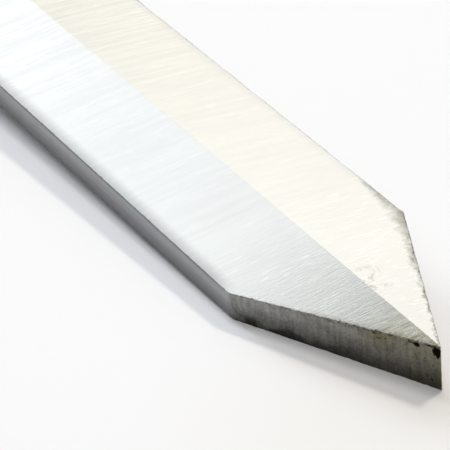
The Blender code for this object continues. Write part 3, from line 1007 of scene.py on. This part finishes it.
# %% [markdown]
# ## The handle
# The handle is one turning: a spigot inside the ferrule, a bead, a neck, a belly, a waist and a tail with
# two cut lines and a rounded butt. Its front is drilled for the tang. It could be joined from cones and
# balls, but one outline keeps the curves smooth. It starts on the axis at the bottom of the hole and ends
# on the axis in the butt, so the surface closes by itself. Hand turning isn't quite even, so the radius
# wanders a little.

# %% Shape the handle
WOOD_FACE, SPIGOT_RADIUS, SHOULDER_PLACE = 1.5, 8.6, 28.3
BEAD_LENGTH, BEAD_RADIUS, QUIRK_RADIUS = 6.0, 11.3, 10.2
GRIP_PLACES = np.array([44.0, 112.0, 188.0, 236.0])
GRIP_RADII = np.array([10.0, 14.8, 12.0, 15.2])
CUT_LINES, LINE_HALF, LINE_DEPTH = (216.0, 220.0), 0.7, 0.6
HANDLE_LENGTH, BUTT_FLAT = 254.0, 6.0
SOCKET_RADIUS, SOCKET_DEPTH, DRILL_HALF_ANGLE = 5.5, 78.0, math.radians(59.0)
GRIP_STEP = 0.8


def grip_radius(distance):
    """Neck, belly, waist and tail, joined by half a cosine each, less a V for each cut line."""
    index = np.clip(np.searchsorted(GRIP_PLACES, distance) - 1, 0, len(GRIP_PLACES) - 2)
    share = np.clip((distance - GRIP_PLACES[index]) / np.diff(GRIP_PLACES)[index], 0, 1)
    radius = GRIP_RADII[index] + np.diff(GRIP_RADII)[index] * (1 - np.cos(np.pi * share)) / 2
    lines = [np.clip(1 - np.abs(distance - line) / LINE_HALF, 0, 1) for line in CUT_LINES]
    return radius - LINE_DEPTH * np.sum(lines, axis=0)


def handle_outline():
    """Socket, face and spigot in a few points, then bead, grip and domed butt in small steps."""
    hole_end = SOCKET_DEPTH + SOCKET_RADIUS / math.tan(DRILL_HALF_ANGLE)
    inside = [(hole_end, 0.0), (SOCKET_DEPTH, SOCKET_RADIUS), (WOOD_FACE + 0.2, SOCKET_RADIUS),
              (WOOD_FACE, SOCKET_RADIUS + 0.2), (WOOD_FACE, SPIGOT_RADIUS - 0.3),
              (WOOD_FACE + 0.3, SPIGOT_RADIUS)]
    crimped = CRIMP_CENTRE + np.linspace(-0.5, 0.5, 9) * CRIMP_LENGTH
    spigot = np.column_stack([crimped, SPIGOT_RADIUS - crimp_dip(crimped)])
    share = np.linspace(0, 1, 31)
    bead_radius = QUIRK_RADIUS + (BEAD_RADIUS - QUIRK_RADIUS) * np.sin(np.pi * share)
    bead = np.column_stack([SHOULDER_PLACE + BEAD_LENGTH * share, bead_radius])
    lines = np.hstack([line + np.linspace(-1.2, 1.2, 25) * LINE_HALF for line in CUT_LINES])
    even = np.arange(GRIP_PLACES[0], GRIP_PLACES[-1], GRIP_STEP)
    even = even[np.abs(even[:, None] - CUT_LINES).min(axis=1) > 0.9]
    distance = np.sort(np.hstack([even, lines]))
    grip = np.column_stack([distance, grip_radius(distance)])
    turn_in = np.linspace(0, np.pi / 2, 28)
    dome_place = GRIP_PLACES[-1] + (HANDLE_LENGTH - GRIP_PLACES[-1]) * np.sin(turn_in)
    dome = np.column_stack([dome_place, BUTT_FLAT + (GRIP_RADII[-1] - BUTT_FLAT) * np.cos(turn_in)])
    flat = np.column_stack([np.full(9, HANDLE_LENGTH), np.linspace(BUTT_FLAT * 0.9, 0.0, 9)])
    neck = filled(np.array([bead[-1], grip[0]]), GRIP_STEP)[1:-1]
    shoulder = [(SHOULDER_PLACE, SPIGOT_RADIUS)]
    return np.vstack([inside, spigot, shoulder, bead, neck, grip, dome, flat])


handle_profile = handle_outline()
print("handle's outline has", len(handle_profile), "points")

# %% Carry the handle's outline round
HANDLE_DINGS = [  # distance, angle, half width, depth
    (61.0, 3.6, 1.6, 0.10), (97.0, 5.5, 1.1, 0.07), (139.0, 2.1, 2.0, 0.09), (171.0, 4.4, 0.9, 0.06),
    (203.0, 0.9, 1.3, 0.07), (229.0, 5.0, 1.5, 0.09), (121.0, 0.4, 0.8, 0.06),
]


def handle_surface():
    """The outline carried round, wandering by a few hundredths, with its dings, and marks for its finish."""
    points, angle = carried_round(handle_profile, 112)
    distance, radius = handle_profile[:, :1], handle_profile[:, 1:]
    shown = swell(distance, SHOULDER_PLACE + 6, SHOULDER_PLACE + 20) * swell(radius, 7.0, 9.0)
    wander = 0.05 * (smooth_noise(distance, 6.0, 91) - 0.5) + 0.04 * np.sin(2 * angle + distance / 60)
    inward = shown * (dings(distance, angle, radius, HANDLE_DINGS) - wander)
    points[..., 1] -= inward * np.cos(angle)
    points[..., 2] -= inward * np.sin(angle)
    off_line = np.abs(distance - np.array(CUT_LINES)).min(axis=1, keepdims=True)
    from_bead = distance - SHOULDER_PLACE
    in_quirk = np.minimum(np.abs(from_bead), np.abs(from_bead - BEAD_LENGTH))
    # the bead's quirks get a mark for soil and painted shade
    marks = {"scorched": swell(off_line, 0.75, 0.25), "soiled": swell(in_quirk, 1.3, 0.1) * (radius > 9.0)}
    return points, {name: values + 0 * angle for name, values in marks.items()}


handle_points, handle_marks = handle_surface()
handle = tube_piece("turned_handle", handle_points, handle_marks)
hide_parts("handle")

# %% [markdown]
# ## Lacquered ash
# Ash has open pores in the early wood of each year's ring and dense pale wood after it. A picture of a
# plank would show a seam and no end grain. Rings are tubes round the tree's pith, so the distance from a
# pith line outside the handle gives them, and the swelling surface cuts them into long arches by itself.
# Pores are dashes along the tool. The lacquer is a clear coat, and the cut lines are scorched black with a
# wire.

# %% Finish of the wood
PITH_AWAY = (0.0, 21.0, 34.0)
GRAIN_LEAN = (0.0, math.radians(1.3), math.radians(-0.9))
RING_WIDTH = 2.3
ACROSS = (0.0, 1.0, 1.0)
ASH, ASH_CLOUD = ((0.585, 0.395, 0.21), (0.685, 0.485, 0.275)), (0.92, 0.87, 0.80)
LATE_WOOD, EARLY_WOOD = (0.84, 0.76, 0.66), (0.42, 0.245, 0.11)
PORES, FLECKS = (0.17, 0.088, 0.034), (0.74, 0.56, 0.35)
# soil and painted shade for the bead's quirks, then the scorch of the cut lines
QUIRK_SOIL_AND_SHADE, SCORCH = (0.16, 0.085, 0.035), (0.022, 0.013, 0.008)


def lacquered_ash():
    """Rings from the distance to the pith, early wood at the start of each, pores in it, a clear coat."""
    material, shader, place = new_finish("lacquered_ash")
    place = along_tool(place)
    bend, ripple = place.noise((0.008, 0.02, 0.02)), place.noise((0.03, 0.20, 0.20), 3.0)
    fibre = place.noise((0.16, 7.0, 7.0), 3.0, 0.65)
    dash, fleck = place.noise((0.13, 4.2, 4.2), 1.5), place.noise((0.9, 4.5, 4.5), 1.0)
    cloud = place.noise((0.02, 0.07, 0.07), 3.0)
    scorched, soiled = read_marks(place, "scorched", "soiled")
    reach = place.turned(GRAIN_LEAN, PITH_AWAY).times(ACROSS).away_from(ORIGIN)
    years = (reach + 11.0 * bend + 1.5 * ripple) / RING_WIDTH
    year = years.maths("FLOOR", years)
    ring = years - year
    season = place.node("ShaderNodeTexWhiteNoise", {"noise_dimensions": "1D"}, {"W": year})
    early = ring.step(0.0, 0.07) * (ring - 0.30 * season).step(0.42, 0.12)
    late = ring.step(0.55, 0.97) * (0.3 + 0.7 * season)
    pores = dash.step(0.54, 0.64) * early
    tone = fibre.step(0.25, 0.75).between(*ASH)
    tone = tone.shaded(cloud.step(0.3, 0.7), ASH_CLOUD).shaded(late * 0.35, LATE_WOOD)
    tone = tone.under(early * (0.35 + 0.5 * season), EARLY_WOOD).under(pores * 0.8, PORES)
    tone = tone.under(fleck.step(0.66, 0.74) * 0.3, FLECKS)
    # soil and painted shade in the bead's quirks, then the scorched cut lines
    tone = tone.under(soiled * 0.5, QUIRK_SOIL_AND_SHADE).under(scorched * 0.93, SCORCH)
    rough = 0.34 + 0.10 * fibre.step(0.3, 0.7) + 0.18 * pores + 0.3 * scorched
    plug(shader, Base_Color=tone, Roughness=rough, Normal=bumped(fibre * 0.25 - pores, 0.4, 0.06))
    plug(shader, Coat_Weight=0.45 * (1.0 - scorched), Coat_Roughness=0.14)
    return material


handle.data.materials.append(lacquered_ash())
print("ash on", handle.name)

# %% [markdown]
# ## The resin
# The tang sits in resin that was poured into the hole and set a little below the wood's face. A flat plug
# with a slot would do where it is hidden, but the face can be seen, and resin climbs where it wets steel
# and wood, so the face is hollow. The piece is a sleeve: its rows run from the bottom of the hole up the
# outside, over the rim and down the inside, which follows the flat tang, to the tang's end.

# %% Shape the resin
BED_RADIUS, BED_FRONT, BED_BACK = 5.2, 1.8, 77.7
FIT_GAP, ROOM_HALF_HEIGHT = 0.3, 2.75
FACE_HOLLOW, WALL_START, BED_COLUMNS = 0.28, 3.0, 96


def bed_surface():
    """Rows of (distance, share from tang to hole). A column's inner radius is the reach of the tang's
    rectangle at its angle: the smaller of half width / |cos| and half height / |sin|."""
    share = np.linspace(1, 0, 13)
    face = np.column_stack([BED_FRONT - FACE_HOLLOW * (2 * share - 1) ** 2, share])
    down = np.column_stack([np.linspace(WALL_START, TANG_LENGTH + FIT_GAP, 24), np.zeros(24)])
    up = np.column_stack([np.linspace(BED_BACK, WALL_START, 20), np.ones(20)])
    rows = np.vstack([up, face, down])
    angle = np.linspace(0, 2 * np.pi, BED_COLUMNS, endpoint=False)[None, :]
    distance, outward = rows[:, :1], rows[:, 1:]
    room = half_width(-distance) + FIT_GAP
    with np.errstate(divide="ignore"):
        inner = np.minimum(room / np.abs(np.cos(angle)), ROOM_HALF_HEIGHT / np.abs(np.sin(angle)))
    radius = inner + (BED_RADIUS - inner) * outward
    ends = np.zeros((2, 1, BED_COLUMNS, 3))
    ends[0, ..., 0], ends[1, ..., 0] = -BED_BACK, -TANG_LENGTH - FIT_GAP
    return np.concatenate([ends[0], ring_points(distance, radius, angle), ends[1]])


resin = tube_piece("poured_resin", bed_surface())
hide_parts("tang_bed")

# %% [markdown]
# ## Set resin
# Stirred resin sets with small bubbles and goes cloudy with dust. The bubbles could be holes in the mesh,
# but they are smaller than its faces, so cells of a Voronoi pattern darken and dent the surface instead.

# %% Finish of the resin
RESIN, BUBBLE = ((0.33, 0.235, 0.115), (0.47, 0.36, 0.21)), (0.20, 0.135, 0.06)
BUBBLES_PER_MM = 1.4


def set_resin():
    """Amber resin, cloudy where dust has settled, with small bubbles and a smooth wet-looking face."""
    material, shader, place = new_finish("set_resin")
    place = along_tool(place)
    cloud = place.noise((0.5, 0.5, 0.5), 4.0, 0.6).step(0.3, 0.7)
    bubble = place.node("ShaderNodeTexVoronoi", sockets={"Vector": place, "Scale": BUBBLES_PER_MM})
    tone = bubble.step(0.22, 0.10).between(cloud.between(*RESIN), BUBBLE)
    plug(shader, Base_Color=tone, Roughness=0.28 + 0.2 * cloud, Coat_Weight=0.4)
    plug(shader, Normal=bumped(bubble.step(0.0, 0.25), 0.3, 0.08))
    return material


resin.data.materials.append(set_resin())
print("resin on", resin.name)

# %% [markdown]
# ## Sizes
# The dressed tool has to stay as big as its solids. A ruler in the picture could show that, but two boxes of
# numbers would be exact.
